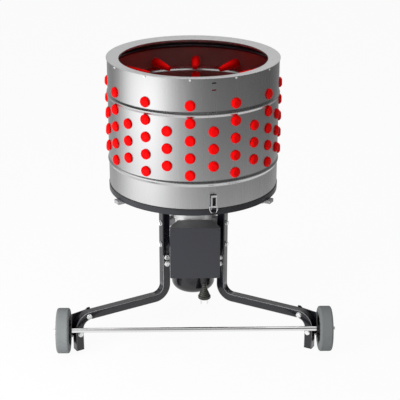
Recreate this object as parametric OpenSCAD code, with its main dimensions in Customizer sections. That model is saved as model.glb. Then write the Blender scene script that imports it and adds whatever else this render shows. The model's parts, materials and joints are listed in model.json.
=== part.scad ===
// Drum poultry plucker: a drum lined with rubber fingers over a spinning
// feather plate, on three bent tube legs, two of them with carrying wheels.
// Millimetres. The origin is on the floor at the middle of the outline,
// +Z is up, -Y is the front (the control box side) and +X is the right.

/* [Drum] */
// Outside diameter of the drum wall
drum_d = 495; // [493:1:499]
// Height of the drum wall
drum_h = 376; // [370:2:382]
// Reach of the wall fingers inside the drum
finger_reach = 93; // [80:1:96]

/* [Feather plate] */
// Height of the plate fingers above the plate
plate_finger_h = 62; // [48:1:64]

/* [Wheels] */
// Diameter of the wheels
wheel_d = 132; // [122:2:134]
// Width of the tyres
wheel_w = 37; // [31:1:41]

/* [Control box] */
// Height of the box cover
cover_h = 159.5; // [154.5:1:162.5]

/* [Hidden] */
$fn = 64;

// Play between pieces that are bolted or slid together
slide_play = 0.1;
// Radial running play of a shaft in its bore
run_play = 0.05;
// Gap between pieces that move past each other
free_gap = 0.4;

// Gear motor
motor_r = 71;
motor_wall = 7;
motor_top_z = 362;
bell_z = 174;
bell_h = 12;
cowl_r = 65.5;
cowl_z = 107;
rotor_shaft_d = 14;
stator_z = [215, 315];
stator_bore_r = 36.3;
rotor_core_r = 35.5;
gear_cavity_r = 52;
gear_module = 1.25;
sun_teeth = 18;
planet_teeth = 27;
ring_teeth = 72;
planet_orbit = gear_module * (sun_teeth + planet_teeth) / 2;
gear_z = [376, 400];
carrier_z = 402;
carrier_t = 10;
carrier_r = 40;
planet_pin_d = 10;
bearing_r = 21;
bearing_h = 12;
bearing_zs = [414, 430];
saddle_zs = [273.5, 342];
saddle_h = 20;
saddle_wrap = 4;
saddle_bolt_in = 5.5;

// Legs: square tube, bent twice
tube = 25;
tube_wall = 2;
tube_corner = 3.25;
front_azimuth = 60;
leg_azimuths = [front_azimuth, -front_azimuth, 180];
saddle_t = 16.5;
leg_r = motor_r + saddle_t + tube / 2;
bend_r = 37.5;
knee_z = 103.5;
foot_r = 394;
foot_cap_h = 3;
leg_seam_z = 241;
sleeve_down = 45;
sleeve_up = 21;
cap_plug_h = 16;

// Tray and arms
tray_floor_z = 443;
arm_t = 10;
arm_wall = 2;
leg_top_z = tray_floor_z - arm_t;
tray_t = 2;
tray_h = 16;
drum_z = tray_floor_z + tray_h;
drum_top_z = drum_z + drum_h;
drum_r = drum_d / 2;
sheet = 1.5;
tray_r = drum_r + 1.5;
tray_flange_in = drum_r - 6.5;

// Top ring: a flat seat on the wall, then a slope down to a rolled lip
ring_t = 1.5;
ring_fall = 4;
ring_r = drum_r + 2.5;
ring_in = drum_r - 33.5;
ring_lip = 6.5;
skirt_r = drum_r - sheet - 0.2;
skirt_h = 16;
rim_screw_z = drum_top_z - 3.6;
rim_screw_d = 3;
rim_screw_len = 6;

// Wall fingers: twelve columns of five and twelve of three
drum_turn = -3;
column_step = 30;
row_step = 50;
full_rows = 5;
half_rows = 3;
row_0_z = drum_z + 102;
half_row_0_z = row_0_z + row_step / 2;
finger_hole_d = 20;
finger_neck_d = 19;
finger_root_d = 27;
finger_tip_d = 14;
finger_head_d = 30;
finger_head_h = 8;
finger_grip = 0.25;

// Rolled beads of the drum wall
bead_zs = [drum_z + 77, drum_z + 275.5];
bead_out = 3;
bead_w = 18;

// Spray ring
spray_r = drum_r - 8.5;
spray_z = drum_top_z - 27;
spray_tube_d = 12;
spray_bore_d = 9;
inlet_azimuth = 165;
inlet_d = 12;

// Feather plate
plate_r = drum_r - 15.5;
plate_z = drum_z + 12;
plate_t = 5;
plate_rings = [[205, 12, 0], [150, 9, 10], [95, 6, 0]];
shaft_d = 20;
shaft_above = 14;

// Wheels and axle
foot_x = foot_r * sin(front_azimuth);
foot_ahead = foot_r * cos(front_azimuth);
foot_side = foot_x + tube_corner
    + (tube / 2 - tube_corner) * (sin(front_azimuth) + cos(front_azimuth));
axle_off = 24;
axle_ahead = foot_ahead + axle_off;
wheel_floor_gap = 6.5;
axle_z = wheel_d / 2 + wheel_floor_gap;
axle_d = 14;
stub_d = 6;
bracket_t = 3;
bracket_x = foot_side + slide_play;
wheel_gap = 2.8;
wheel_in = bracket_x + bracket_t + wheel_gap;
wheel_out = wheel_in + wheel_w;
boss_proud = 2.5;
axle_shoulder = wheel_out + boss_proud;
cap_len = 9;
cap_end_t = 1.5;
axle_end = axle_shoulder + cap_len;
stub_end = axle_end - cap_end_t;
tyre_h = 22;
tyre_corner = 6;
rim_r = wheel_d / 2 - tyre_h;
rim_t = 5;

// The drum axis stands behind the middle of the outline
drum_y = (axle_ahead + wheel_d / 2 - foot_r - tube / 2) / 2;

// Control box
cover_x = 3;
cover_w = 146;
cover_top_z = 363.5;
cover_front = 150;
cover_t = 10;
box_front = cover_front - cover_t;
box_back = 86;
box_back_w = 100;
box_bottom_z = 284;
box_wall = 3;
neck_w = 60;
neck_top_z = cover_top_z - 20;

// Bolts
bolt_d = 8;
bolt_head_r = 8;
bolt_head_h = 6;
washer_t = 1.6;
bolt_tail = 1.5;
nut_r = 7.5;
nut_h = 6.5;
hole_play = 0.4;
side_bolt_zs = [leg_seam_z - 9.5, leg_seam_z - 29.5];
knee_bolt = [foot_r - 31, knee_z - 1];
foot_bolt = [foot_r - 1, knee_z - 50.5];

// Latches
latch_azimuths = [12, -108, 132];
latch_u = drum_r + 6;
latch_z = drum_z + 4.5;
latch_pin_d = 3;
bail_d = 3;
bail_off = [-1.6, 5.26];
bail_foot = [-0.6, -11.5];
bail_len = norm(bail_off - bail_foot);
bail_half_w = 11;
bail_foot_half_w = 7;
lever_half_w = 8.2;
lever_t = 1.2;

// Cord: gland, coil held behind the cover, plug
cord_d = 6.2;
cord_x = 32.3;
coil_front_y = -97.2;
coil_layer = 6.8;
coil_r = 45.1;
coil_pitch = 6.75;
coil_turns = 6;
coil_z = 234;
coil_x = cord_x - coil_r;
relief_end_z = 250;
plug_top_z = 160.5;
plug_z = 110;
plug_d = 38;

// Turn so that +X points outward at an azimuth counted from the front
module facing(azimuth) rotate([0, 0, azimuth - 90]) children();

// Put children at the drum axis
module at_drum() translate([0, drum_y, 0]) children();

module tube_2d(size, corner)
{
    square([size, size - 2 * corner], center = true);
    square([size - 2 * corner, size], center = true);
    for (sx = [-1, 1], sy = [-1, 1])
        translate([sx, sy] * (size / 2 - corner)) circle(corner);
}

module hollow_2d()
{
    difference() {
        tube_2d(tube, tube_corner);
        tube_2d(tube - 2 * tube_wall, tube_corner - tube_wall);
    }
}

// A bar of round section along +X from x0 to x1
module bar_x(d, x0, x1) translate([x0, 0, 0]) rotate([0, 90, 0]) cylinder(d = d, h = x1 - x0);

// A bar of round section along +Y from y0 to y1
module bar_y(d, y0, y1) translate([0, y0, 0]) rotate([-90, 0, 0]) cylinder(d = d, h = y1 - y0);

module disc(r, z0, z1) translate([0, 0, z0]) cylinder(r = r, h = z1 - z0);

module pipe(r_out, r_in, z0, z1)
{
    difference() {
        disc(r_out, z0, z1);
        disc(r_in, z0 - 1, z1 + 1);
    }
}

module each_finger()
{
    for (i = [0:11]) {
        for (row = [0:full_rows - 1])
            facing(drum_turn + i * column_step)
                translate([0, 0, row_0_z + row * row_step]) children();
        for (row = [0:half_rows - 1])
            facing(drum_turn + (i + 0.5) * column_step)
                translate([0, 0, half_row_0_z + row * row_step]) children();
    }
}

bead_steps = 12;
function bead_points(z, r) = [
    for (i = [0:bead_steps]) let (t = i / bead_steps)
        [r + bead_out * (1 - cos(360 * t)) / 2, z + bead_w * (t - 0.5)]
];
function wall_side(r) = concat(
    [[r, drum_z]], bead_points(bead_zs[0], r), bead_points(bead_zs[1], r), [[r, drum_top_z]]
);
function reversed(v) = [for (i = [len(v) - 1:-1:0]) v[i]];

slot_azimuth = drum_turn + 15;
slot_zs = [drum_top_z - 12.5, drum_top_z - 32];
slot_w = 12;
slot_h = 3.5;

module drum_shell()
{
    color("silver") at_drum() difference() {
        rotate_extrude()
            polygon(concat(wall_side(drum_r), reversed(wall_side(drum_r - sheet))));
        each_finger() bar_x(finger_hole_d, drum_r - 10, drum_r + 10);
        for (i = [0:11]) facing(drum_turn + i * column_step)
            translate([0, 0, rim_screw_z]) bar_x(rim_screw_d + hole_play, drum_r - 10, drum_r + 10);
        for (z = slot_zs) facing(slot_azimuth)
            translate([drum_r, 0, z]) cube([20, slot_w, slot_h], center = true);
        facing(inlet_azimuth) translate([0, 0, spray_z])
            bar_x(inlet_d + 2 * hole_play, drum_r - 10, drum_r + 10);
    }
}

// Half section of the ring; x is the radius and y the height above the wall's top
ring_edge = 0.4;
lip_round = 1.2;
function ring_section(seat_in) = [
    [seat_in, 0],
    [ring_r - ring_edge, 0],
    [ring_r, ring_edge],
    [ring_r, ring_t - ring_edge],
    [ring_r - ring_edge, ring_t],
    [seat_in, ring_t],
    [ring_in + lip_round, ring_t - ring_fall],
    [ring_in + 0.3 * lip_round, ring_t - ring_fall - 0.3 * lip_round],
    [ring_in, ring_t - ring_fall - lip_round],
    [ring_in, ring_t - ring_fall - ring_lip],
    [ring_in + ring_t, ring_t - ring_fall - ring_lip],
    [ring_in + ring_t, -ring_fall - 0.4]
];

module top_ring()
{
    lip_t = 2;
    color("gainsboro") at_drum() difference() {
        rotate_extrude() {
            translate([0, drum_top_z]) polygon(ring_section(skirt_r - lip_t));
            translate([skirt_r - lip_t, drum_top_z - skirt_h]) square([lip_t, skirt_h + 1]);
        }
        for (i = [0:11]) facing(drum_turn + i * column_step)
            translate([0, 0, rim_screw_z]) bar_x(rim_screw_d + 2 * slide_play, drum_r - 10, drum_r - 1);
    }
}

module rim_screws()
{
    head_r = 3.2;
    head_h = 2.2;
    // The flat head clears the curved wall
    head_x = drum_r + 0.03;
    color("whitesmoke") at_drum() for (i = [0:11]) facing(drum_turn + i * column_step)
        translate([0, 0, rim_screw_z]) {
            bar_x(rim_screw_d, drum_r - rim_screw_len, head_x + head_h / 2);
            translate([head_x, 0, 0]) rotate([0, 90, 0])
                cylinder(r1 = head_r, r2 = 0.65 * head_r, h = head_h);
        }
}

// Half section of a rubber finger; x is the radius and y runs from the
// outer face of the sheet (0) into the working space
rib_count = 6;
rib_out = 0.9;
rib_rise = 1.5;
rib_flat = 3;
rib_start = 14;
rib_end = 12;
head_slope = 6;
head_bevel = 1.5;
head_side = 2.5;
tip_round = 3;
module finger_2d(reach, root_y, grip_out)
{
    rib_step = (reach - rib_start - rib_end) / rib_count;
    slope = (finger_root_d - finger_tip_d) / 2 / reach;
    rib_w = 2 * rib_rise + rib_flat;
    ribs = [
        for (i = [0:rib_count - 1])
            let (along = rib_start + i * rib_step, r = finger_root_d / 2 - slope * along, y = root_y + along)
                each [
                    [r, y], [r + rib_out, y + rib_rise],
                    [r + rib_out - slope * rib_flat, y + rib_rise + rib_flat], [r - slope * rib_w, y + rib_w]
                ]
    ];
    head_r = finger_head_d / 2;
    tip_r = finger_tip_d / 2;
    tip_y = root_y + reach;
    polygon(concat(
        [
            [0, -grip_out - finger_head_h],
            [head_r - head_slope, -grip_out - finger_head_h],
            [head_r - head_bevel, -grip_out - finger_head_h + 2 * head_bevel],
            [head_r, -grip_out - head_side],
            [head_r, -grip_out],
            [finger_neck_d / 2, -grip_out],
            [finger_neck_d / 2, root_y],
            [finger_root_d / 2, root_y]
        ],
        ribs,
        [
            [tip_r, tip_y - tip_round],
            [tip_r - 0.4 * tip_round, tip_y - 0.27 * tip_round],
            [tip_r - 1.17 * tip_round, tip_y],
            [0, tip_y]
        ]
    ));
}

module wall_fingers()
{
    // The shoulder clears the curved inner face of the wall
    wall_in = drum_r - sheet;
    shoulder = drum_r - sqrt(wall_in * wall_in - finger_root_d * finger_root_d / 4) + finger_grip;
    color("firebrick") at_drum() each_finger()
        translate([drum_r, 0, 0]) rotate([0, -90, 0])
            rotate_extrude() finger_2d(finger_reach, shoulder, finger_grip);
}

jet_count = 12;
module spray_ring()
{
    color("dimgray") at_drum() difference() {
        translate([0, 0, spray_z]) rotate_extrude() translate([spray_r, 0]) difference() {
            circle(d = spray_tube_d);
            circle(d = spray_bore_d);
        }
        for (i = [0:jet_count - 1]) facing(i * 360 / jet_count + 15)
            translate([spray_r, 0, spray_z]) rotate([0, -120, 0]) cylinder(d = 2, h = spray_tube_d);
        facing(inlet_azimuth) translate([0, 0, spray_z]) bar_x(inlet_d - 4, spray_r, drum_r + 5);
    }
}

module hose_inlet()
{
    start = spray_r + spray_tube_d / 2 + slide_play;
    flange_t = 3;
    nut_t = 7;
    barb_h = 4;
    barb_step = 6;
    barb_0 = drum_r + flange_t + nut_t + barb_step;
    barb_end = barb_0 + 3 * barb_step;
    color("goldenrod") at_drum() facing(inlet_azimuth) translate([0, 0, spray_z]) difference() {
        union() {
            bar_x(inlet_d, start, barb_end);
            bar_x(2 * inlet_d, drum_r + slide_play, drum_r + flange_t);
            translate([drum_r + flange_t, 0, 0]) rotate([0, 90, 0]) cylinder(r = 10, h = nut_t, $fn = 6);
            for (i = [0:2]) translate([barb_0 + i * barb_step, 0, 0]) rotate([0, 90, 0])
                cylinder(r1 = 0.6 * inlet_d, r2 = inlet_d / 2, h = barb_h);
        }
        bar_x(inlet_d - 4, start - 1, barb_end + 1);
    }
}

// Latch pieces are drawn in a radial plane: x is the distance from the drum
// axis, z the height, y runs along the wall
module latch_frame(i) facing(latch_azimuths[i]) children();

ear_t = 1.6;
ear_y = 5;
ear_r = 3;
module latch_bases()
{
    plate_x = drum_r;
    plate_t = 2;
    low_z = drum_z + 4;
    wide_z = drum_z + 16;
    top_z = drum_z + 44;
    color("dimgray") at_drum() for (i = [0:2]) latch_frame(i) {
        translate([plate_x, -9, wide_z]) cube([plate_t, 18, top_z - wide_z]);
        translate([plate_x, -ear_y - ear_t, low_z]) cube([plate_t, 2 * (ear_y + ear_t), wide_z - low_z]);
        for (y = [-ear_y - ear_t, ear_y]) {
            translate([plate_x, y, latch_z - ear_r]) cube([latch_u - plate_x, ear_t, 10]);
            translate([latch_u, y, latch_z]) rotate([-90, 0, 0]) cylinder(r = ear_r, h = ear_t);
        }
        translate([latch_u, 0, latch_z]) bar_y(latch_pin_d, -lever_half_w - 0.6, lever_half_w + 0.6);
        for (z = [top_z - 5, top_z - 14, top_z - 23])
            translate([plate_x + plate_t, 0, z]) rotate([0, 90, 0]) cylinder(r1 = 3, r2 = 2, h = 1.2);
    }
}

module latch_lever(i)
{
    handle_top = drum_z + 43;
    skin_x = latch_u + 2.4;
    side_y = lever_half_w - lever_t;
    eye_r = 3.2;
    window_w = 9.6;
    window_in = 4;
    hole_d = latch_pin_d + 2 * run_play;
    bail_hole_d = bail_d + 2 * run_play;
    b = [latch_u + bail_off[0], latch_z + bail_off[1]];
    color("silver") at_drum() latch_frame(i) {
        difference() {
            for (y = [-lever_half_w, side_y]) {
                translate([latch_u, y, latch_z]) rotate([-90, 0, 0]) cylinder(r = eye_r, h = lever_t);
                translate([b[0], y, b[1]]) rotate([-90, 0, 0]) cylinder(r = eye_r, h = lever_t);
                translate([latch_u - eye_r, y, latch_z])
                    cube([skin_x + lever_t - latch_u + eye_r, lever_t, handle_top - 4 - latch_z]);
            }
            translate([latch_u, 0, latch_z]) bar_y(hole_d, -20, 20);
            translate([b[0], 0, b[1]]) bar_y(bail_hole_d, -20, 20);
        }
        difference() {
            translate([skin_x, -lever_half_w, b[1]])
                cube([lever_t, 2 * lever_half_w, handle_top - b[1]]);
            translate([skin_x - 1, -window_w / 2, b[1] + window_in])
                cube([lever_t + 2, window_w, handle_top - b[1] - 2 * window_in]);
        }
        translate([skin_x + lever_t / 2, 0, handle_top]) bar_y(4, -lever_half_w, lever_half_w);
        translate([skin_x + lever_t / 2, 0, b[1]]) bar_y(3, -lever_half_w, lever_half_w);
    }
}

// Round wire through points of the y-z plane, a little fuller at its bends
module wire(points, d)
{
    bend_d = 1.04 * d;
    for (i = [1:len(points) - 1]) {
        p = points[i - 1];
        step = points[i] - p;
        translate([0, p[0], p[1]]) rotate([atan2(-step[0], step[1]), 0, 0]) cylinder(d = d, h = norm(step));
        if (i < len(points) - 1) translate([0, points[i][0], points[i][1]]) sphere(d = bend_d);
    }
}

module latch_bail(i)
{
    b = [latch_u + bail_off[0], latch_z + bail_off[1]];
    lean = atan2(bail_foot[0] - bail_off[0], bail_off[1] - bail_foot[1]);
    pin_y = ear_y + ear_t + 0.3;
    narrow_y = bail_foot_half_w;
    color("lightgray") at_drum() latch_frame(i) translate([b[0], 0, b[1]]) rotate([0, -lean, 0])
        wire([[-pin_y, 0], [-bail_half_w, 0], [-bail_half_w, -bail_len / 2], [-narrow_y, -bail_len],
            [narrow_y, -bail_len], [bail_half_w, -bail_len / 2], [bail_half_w, 0], [pin_y, 0]], bail_d);
}

module latch_lever_1() latch_lever(0);
module latch_lever_2() latch_lever(1);
module latch_lever_3() latch_lever(2);
module latch_bail_1() latch_bail(0);
module latch_bail_2() latch_bail(1);
module latch_bail_3() latch_bail(2);

module latch_hooks()
{
    half_w = 5;
    t = 1.5;
    lip_down = 4;
    hook_z = latch_z + bail_foot[1] + bail_d / 2 + 0.55;
    lip_x = latch_u + bail_foot[0] + bail_d / 2 + 2.7;
    color("dimgray") at_drum() for (i = [0:2]) latch_frame(i) {
        translate([tray_r, -half_w, tray_floor_z + 1.5]) cube([t, 2 * half_w, tray_h - 3]);
        translate([tray_r, -half_w, hook_z]) cube([lip_x + t - tray_r, 2 * half_w, t]);
        translate([lip_x, -half_w, hook_z - lip_down]) cube([t, 2 * half_w, lip_down + t]);
    }
}

// Tray, arms and legs

outlet_azimuth = 120;
outlet_angle = 52;
outlet_r = [125, drum_r - 11];
arm_bolt_rs = [130, 226];
arm_r = [75, drum_r + 11];

module tray()
{
    guide_t = 1.5;
    guide_r = drum_r - sheet - 0.5;
    color("dimgray") at_drum() difference() {
        union() {
            disc(tray_r, tray_floor_z, tray_floor_z + tray_t);
            pipe(tray_r, tray_r - sheet, tray_floor_z, drum_z);
            pipe(tray_r, guide_r - guide_t, drum_z - tray_t, drum_z);
            pipe(guide_r, guide_r - guide_t, drum_z - tray_t, drum_z + 6);
        }
        disc(15, tray_floor_z - 1, drum_z);
        translate([0, 0, tray_floor_z - 1]) rotate([0, 0, outlet_azimuth - 90 - outlet_angle / 2])
            rotate_extrude(angle = outlet_angle)
                translate([outlet_r[0], 0]) square([outlet_r[1] - outlet_r[0], tray_t + 2]);
        for (a = leg_azimuths) facing(a) for (r = arm_bolt_rs)
            translate([r, 0, 0]) disc((bolt_d + hole_play) / 2, tray_floor_z - 1, tray_floor_z + 3);
    }
}

module support_arms()
{
    // Flat tubes with a closed outer end
    len = arm_r[1] - arm_r[0];
    color("gray") at_drum() for (a = leg_azimuths) facing(a) difference() {
        translate([arm_r[0], -tube / 2, leg_top_z]) cube([len, tube, arm_t]);
        translate([arm_r[0] - arm_wall, -tube / 2 + arm_wall, leg_top_z + arm_wall])
            cube([len, tube - 2 * arm_wall, arm_t - 2 * arm_wall]);
        for (r = arm_bolt_rs)
            translate([r, 0, 0]) disc((bolt_d + hole_play) / 2, leg_top_z - 1, tray_floor_z + 1);
    }
}

module bolt_head()
{
    cylinder(r = bolt_head_r, h = washer_t);
    cylinder(r = nut_r, h = bolt_head_h, $fn = 6);
}

module arm_bolts()
{
    floor_top = tray_floor_z + tray_t;
    color("whitesmoke") at_drum() for (a = leg_azimuths) facing(a) for (r = arm_bolt_rs)
        translate([r, 0, 0]) {
            translate([0, 0, floor_top]) bolt_head();
            disc(bolt_d / 2, leg_top_z - nut_h - bolt_tail, floor_top + 1);
            translate([0, 0, leg_top_z - nut_h]) cylinder(r = nut_r, h = nut_h, $fn = 6);
        }
}

// Room for a bolt through both side walls of a leg, in the leg's own frame
module side_hole(r, z) translate([r, 0, z]) bar_y(bolt_d + hole_play, -tube, tube);

module leg_uppers()
{
    color("dimgray") at_drum() for (a = leg_azimuths) facing(a) difference() {
        translate([leg_r, 0, leg_seam_z]) linear_extrude(leg_top_z - leg_seam_z) hollow_2d();
        for (z = saddle_zs) translate([0, 0, z]) bar_x(bolt_d + hole_play, leg_r - tube, leg_r + tube);
    }
}

// Lower leg: down, out at the knee, along, and down again to the floor
module lower_leg(azimuth, has_bracket)
{
    knee_r = leg_r + bend_r;
    foot_bend_r = foot_r - bend_r;
    color("dimgray") at_drum() facing(azimuth) difference() {
        union() {
            translate([leg_r, 0, knee_z + bend_r])
                linear_extrude(leg_seam_z - knee_z - bend_r) hollow_2d();
            translate([knee_r, 0, knee_z + bend_r]) rotate([90, 0, 0]) rotate([0, 0, 180])
                rotate_extrude(angle = 90) translate([bend_r, 0]) hollow_2d();
            translate([knee_r, 0, knee_z]) rotate([0, 90, 0])
                linear_extrude(foot_bend_r - knee_r) hollow_2d();
            translate([foot_bend_r, 0, knee_z - bend_r]) rotate([90, 0, 0])
                rotate_extrude(angle = 90) translate([bend_r, 0]) hollow_2d();
            translate([foot_r, 0, foot_cap_h])
                linear_extrude(knee_z - bend_r - foot_cap_h) hollow_2d();
        }
        for (z = side_bolt_zs) side_hole(leg_r, z);
        if (has_bracket) {
            side_hole(knee_bolt[0], knee_bolt[1]);
            side_hole(foot_bolt[0], foot_bolt[1]);
        }
    }
}

module leg_lower_left() lower_leg(-front_azimuth, true);
module leg_lower_right() lower_leg(front_azimuth, true);
module leg_lower_rear() lower_leg(180, false);

sleeve_size = tube - 2 * tube_wall - 2 * slide_play;
module leg_sleeves()
{
    sleeve_z = [leg_seam_z - sleeve_down, leg_seam_z + sleeve_up];
    color("gray") at_drum() for (a = leg_azimuths) facing(a) difference() {
        translate([leg_r, 0, sleeve_z[0]]) linear_extrude(sleeve_z[1] - sleeve_z[0]) difference() {
            tube_2d(sleeve_size, tube_corner - tube_wall);
            tube_2d(sleeve_size - 2 * tube_wall, (tube_corner - tube_wall) / 2);
        }
        for (z = side_bolt_zs) side_hole(leg_r, z);
    }
}

module foot_caps()
{
    color("black") at_drum() for (a = leg_azimuths) facing(a) translate([foot_r, 0, 0]) {
        linear_extrude(foot_cap_h) tube_2d(tube, tube_corner);
        linear_extrude(cap_plug_h) tube_2d(sleeve_size, tube_corner - tube_wall);
    }
}

// Side of each leg that faces the rear: +1 or -1 along the leg's own y
function rear_side(azimuth) = azimuth > 0 ? 1 : -1;

// Runs the children at every cross bolt, with +Z along the bolt from its head
module each_cross_bolt(grip_extra)
{
    for (a = leg_azimuths) facing(a) {
        for (z = side_bolt_zs) translate([leg_r, 0, z]) {
            $grip = tube;
            rotate([-90 * rear_side(a), 0, 0]) translate([0, 0, -tube / 2]) children();
        }
    }
    for (a = [front_azimuth, -front_azimuth], p = [knee_bolt, foot_bolt])
        facing(a) translate([p[0], 0, p[1]]) {
            $grip = tube + grip_extra;
            rotate([-90 * rear_side(a), 0, 0]) translate([0, 0, -tube / 2]) children();
        }
}

module cross_bolts()
{
    color("whitesmoke") at_drum() each_cross_bolt(bracket_t) {
        cylinder(d = bolt_d, h = $grip + nut_h + bolt_tail);
        mirror([0, 0, 1]) bolt_head();
    }
}

module cross_nuts()
{
    color("whitesmoke") at_drum() each_cross_bolt(bracket_t) translate([0, 0, $grip]) difference() {
        cylinder(r = nut_r, h = nut_h, $fn = 6);
        translate([0, 0, -1]) cylinder(d = bolt_d + run_play, h = nut_h + 2);
    }
}

module saddles()
{
    color("gray") at_drum() for (a = leg_azimuths) facing(a) for (z = saddle_zs) difference() {
        translate([motor_r - saddle_wrap, -tube / 2, z - saddle_h / 2])
            cube([saddle_t + saddle_wrap, tube, saddle_h]);
        disc(motor_r, z - saddle_h, z + saddle_h);
        translate([0, 0, z]) bar_x(bolt_d + hole_play, motor_r - 10, leg_r);
    }
}

saddle_bolt_end = motor_r - saddle_bolt_in;
module saddle_bolts()
{
    color("whitesmoke") at_drum() for (a = leg_azimuths) facing(a) for (z = saddle_zs)
        translate([0, 0, z]) {
            bar_x(bolt_d, saddle_bolt_end, leg_r + tube / 2 + 0.5);
            translate([leg_r + tube / 2, 0, 0]) rotate([0, 90, 0]) bolt_head();
        }
}

// Folded plate: a web on the rear face of the leg and a flange beside the wheel
module wheel_bracket()
{
    eye_r = 14;
    web = [[-46, -15.5], [-46, 15.5], [-38, 15.5], [-32, 10.5], [13, 6.5], [13, -61.5], [-14, -61.5],
        [-14, -33.5], [-26, -17.5]];
    flange = [[8, -61.5], [8, 6.5], [-3, 5.5], [-axle_off - 12, axle_z - knee_z + 8],
        [-axle_off, axle_z - knee_z - eye_r], [-9, -61.5]];
    at_drum() difference() {
        union() {
            facing(front_azimuth) translate([foot_r, tube / 2 + bracket_t, knee_z])
                rotate([90, 0, 0]) linear_extrude(bracket_t) polygon(web);
            translate([bracket_x, -foot_ahead, knee_z]) rotate([90, 0, 90]) linear_extrude(bracket_t) {
                polygon(flange);
                translate([-axle_off, axle_z - knee_z]) circle(eye_r);
            }
        }
        for (p = [knee_bolt, foot_bolt]) facing(front_azimuth) side_hole(p[0], p[1]);
        translate([0, -axle_ahead, axle_z])
            bar_x(axle_d + 2 * slide_play, bracket_x - bracket_t, bracket_x + 2 * bracket_t);
    }
}

module wheel_brackets()
{
    color("dimgray") {
        wheel_bracket();
        mirror([1, 0, 0]) wheel_bracket();
    }
}

module at_axle() translate([0, drum_y - axle_ahead, axle_z]) children();

module axle()
{
    color("silver") at_axle() {
        bar_x(axle_d, -axle_shoulder, axle_shoulder);
        bar_x(stub_d, -stub_end, stub_end);
    }
}

module axle_caps()
{
    rim_r = 9;
    rim_t = 2;
    base_r = 6.5;
    top_r = 5;
    color("silver") at_axle() for (side = [0, 1]) mirror([side, 0, 0]) difference() {
        translate([axle_shoulder + slide_play, 0, 0]) rotate([0, 90, 0]) {
            cylinder(r = rim_r, h = rim_t);
            cylinder(r1 = base_r, r2 = top_r, h = cap_len - slide_play);
        }
        bar_x(stub_d + 2 * run_play, axle_shoulder - 1, stub_end + slide_play);
    }
}

// Wheels spin on the axle; x runs outward from the inner side of the tyre
module tyre()
{
    r = wheel_d / 2;
    c = tyre_corner;
    rotate([0, 90, 0]) rotate_extrude() {
        translate([rim_r, 0]) square([r - rim_r - c, wheel_w]);
        translate([rim_r, c]) square([r - rim_r, wheel_w - 2 * c]);
        for (y = [c, wheel_w - c]) translate([r - c, y]) circle(c);
    }
}

module hub()
{
    rim_inset = 1;
    web_t = 8;
    boss_r = 12;
    hole_r = 5;
    boss_in = free_gap - wheel_gap;
    boss_out = wheel_w + boss_proud - free_gap;
    rotate([0, 90, 0]) difference() {
        union() {
            pipe(rim_r, rim_r - rim_t, rim_inset, wheel_w - rim_inset);
            disc(rim_r - rim_t / 2, (wheel_w - web_t) / 2, (wheel_w + web_t) / 2);
            disc(boss_r, boss_in, boss_out);
        }
        disc(axle_d / 2 + 2 * run_play, boss_in - 1, boss_out + 1);
        for (a = [0:60:300]) rotate([0, 0, a]) translate([rim_r * 0.6, 0, 0]) disc(hole_r, 0, wheel_w);
    }
}

module tyre_right() color("gray") at_axle() translate([wheel_in, 0, 0]) tyre();
module tyre_left() color("gray") at_axle() mirror([1, 0, 0]) translate([wheel_in, 0, 0]) tyre();
module hub_right() color("dimgray") at_axle() translate([wheel_in, 0, 0]) hub();
module hub_left() color("dimgray") at_axle() mirror([1, 0, 0]) translate([wheel_in, 0, 0]) hub();

// Gear motor

module gear_case()
{
    color("silver") at_drum() difference() {
        disc(motor_r, motor_top_z, tray_floor_z);
        disc(gear_cavity_r, motor_top_z - 1, bearing_zs[0]);
        disc(bearing_r, bearing_zs[0] - 1, bearing_zs[1] + bearing_h);
        disc(15, bearing_zs[1], tray_floor_z + 1);
    }
}

// Teeth as a ring of trapezoids; x is the root, tip and half widths
gear_addendum = gear_module;
gear_dedendum = 1.6;
tooth_half = 0.66;
function tooth(a, r_root, r_tip, half_root, half_tip) = [
    [r_root, -half_root], [r_tip, -half_tip], [r_tip, half_tip], [r_root, half_root]
] * [[cos(a), sin(a)], [-sin(a), cos(a)]];

module gear_2d(teeth)
{
    pitch_r = gear_module * teeth / 2;
    polygon([
        for (i = [0:teeth - 1])
            each tooth(i * 360 / teeth, pitch_r - gear_dedendum, pitch_r + gear_addendum,
                tooth_half + 0.5, tooth_half - 0.4)
    ]);
}

module ring_gear()
{
    pitch_r = gear_module * ring_teeth / 2;
    color("darkgray") at_drum() translate([0, 0, gear_z[0]]) linear_extrude(gear_z[1] - gear_z[0])
        difference() {
            circle(gear_cavity_r);
            polygon([
                for (i = [0:ring_teeth - 1])
                    each tooth((i + 0.5) * 360 / ring_teeth, pitch_r + gear_dedendum,
                        pitch_r - gear_addendum, tooth_half + 0.5, tooth_half - 0.4)
            ]);
        }
}

module shaft_bearings()
{
    color("gainsboro") at_drum() for (z = bearing_zs)
        pipe(bearing_r, shaft_d / 2 + run_play, z, z + bearing_h);
}

motor_plate_h = 10;
module motor_housing()
{
    color("silver") at_drum() difference() {
        disc(motor_r, bell_z + bell_h, motor_top_z);
        disc(motor_r - motor_wall, bell_z + bell_h - 1, motor_top_z - motor_plate_h);
        disc(rotor_shaft_d / 2 + run_play, motor_top_z - motor_plate_h - 1, motor_top_z + 1);
        for (a = leg_azimuths) facing(a) for (z = saddle_zs)
            translate([0, 0, z]) bar_x(bolt_d + hole_play, saddle_bolt_end - 2, motor_r + 5);
        translate([cover_x, 0, wire_z]) bar_y(wire_d, -motor_r - 5, -motor_r + motor_wall + 5);
    }
}

module stator()
{
    slot_count = 12;
    color("peru") at_drum() difference() {
        union() {
            disc(motor_r - motor_wall, stator_z[0], stator_z[1]);
            disc(58, stator_z[0] - 12, stator_z[1] + 12);
        }
        disc(stator_bore_r, stator_z[0] - 20, stator_z[1] + 20);
        for (i = [0:slot_count - 1]) rotate([0, 0, i * 360 / slot_count])
            translate([0, -2, stator_z[0] - 20]) cube([50, 4, stator_z[1] - stator_z[0] + 40]);
    }
}

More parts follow.
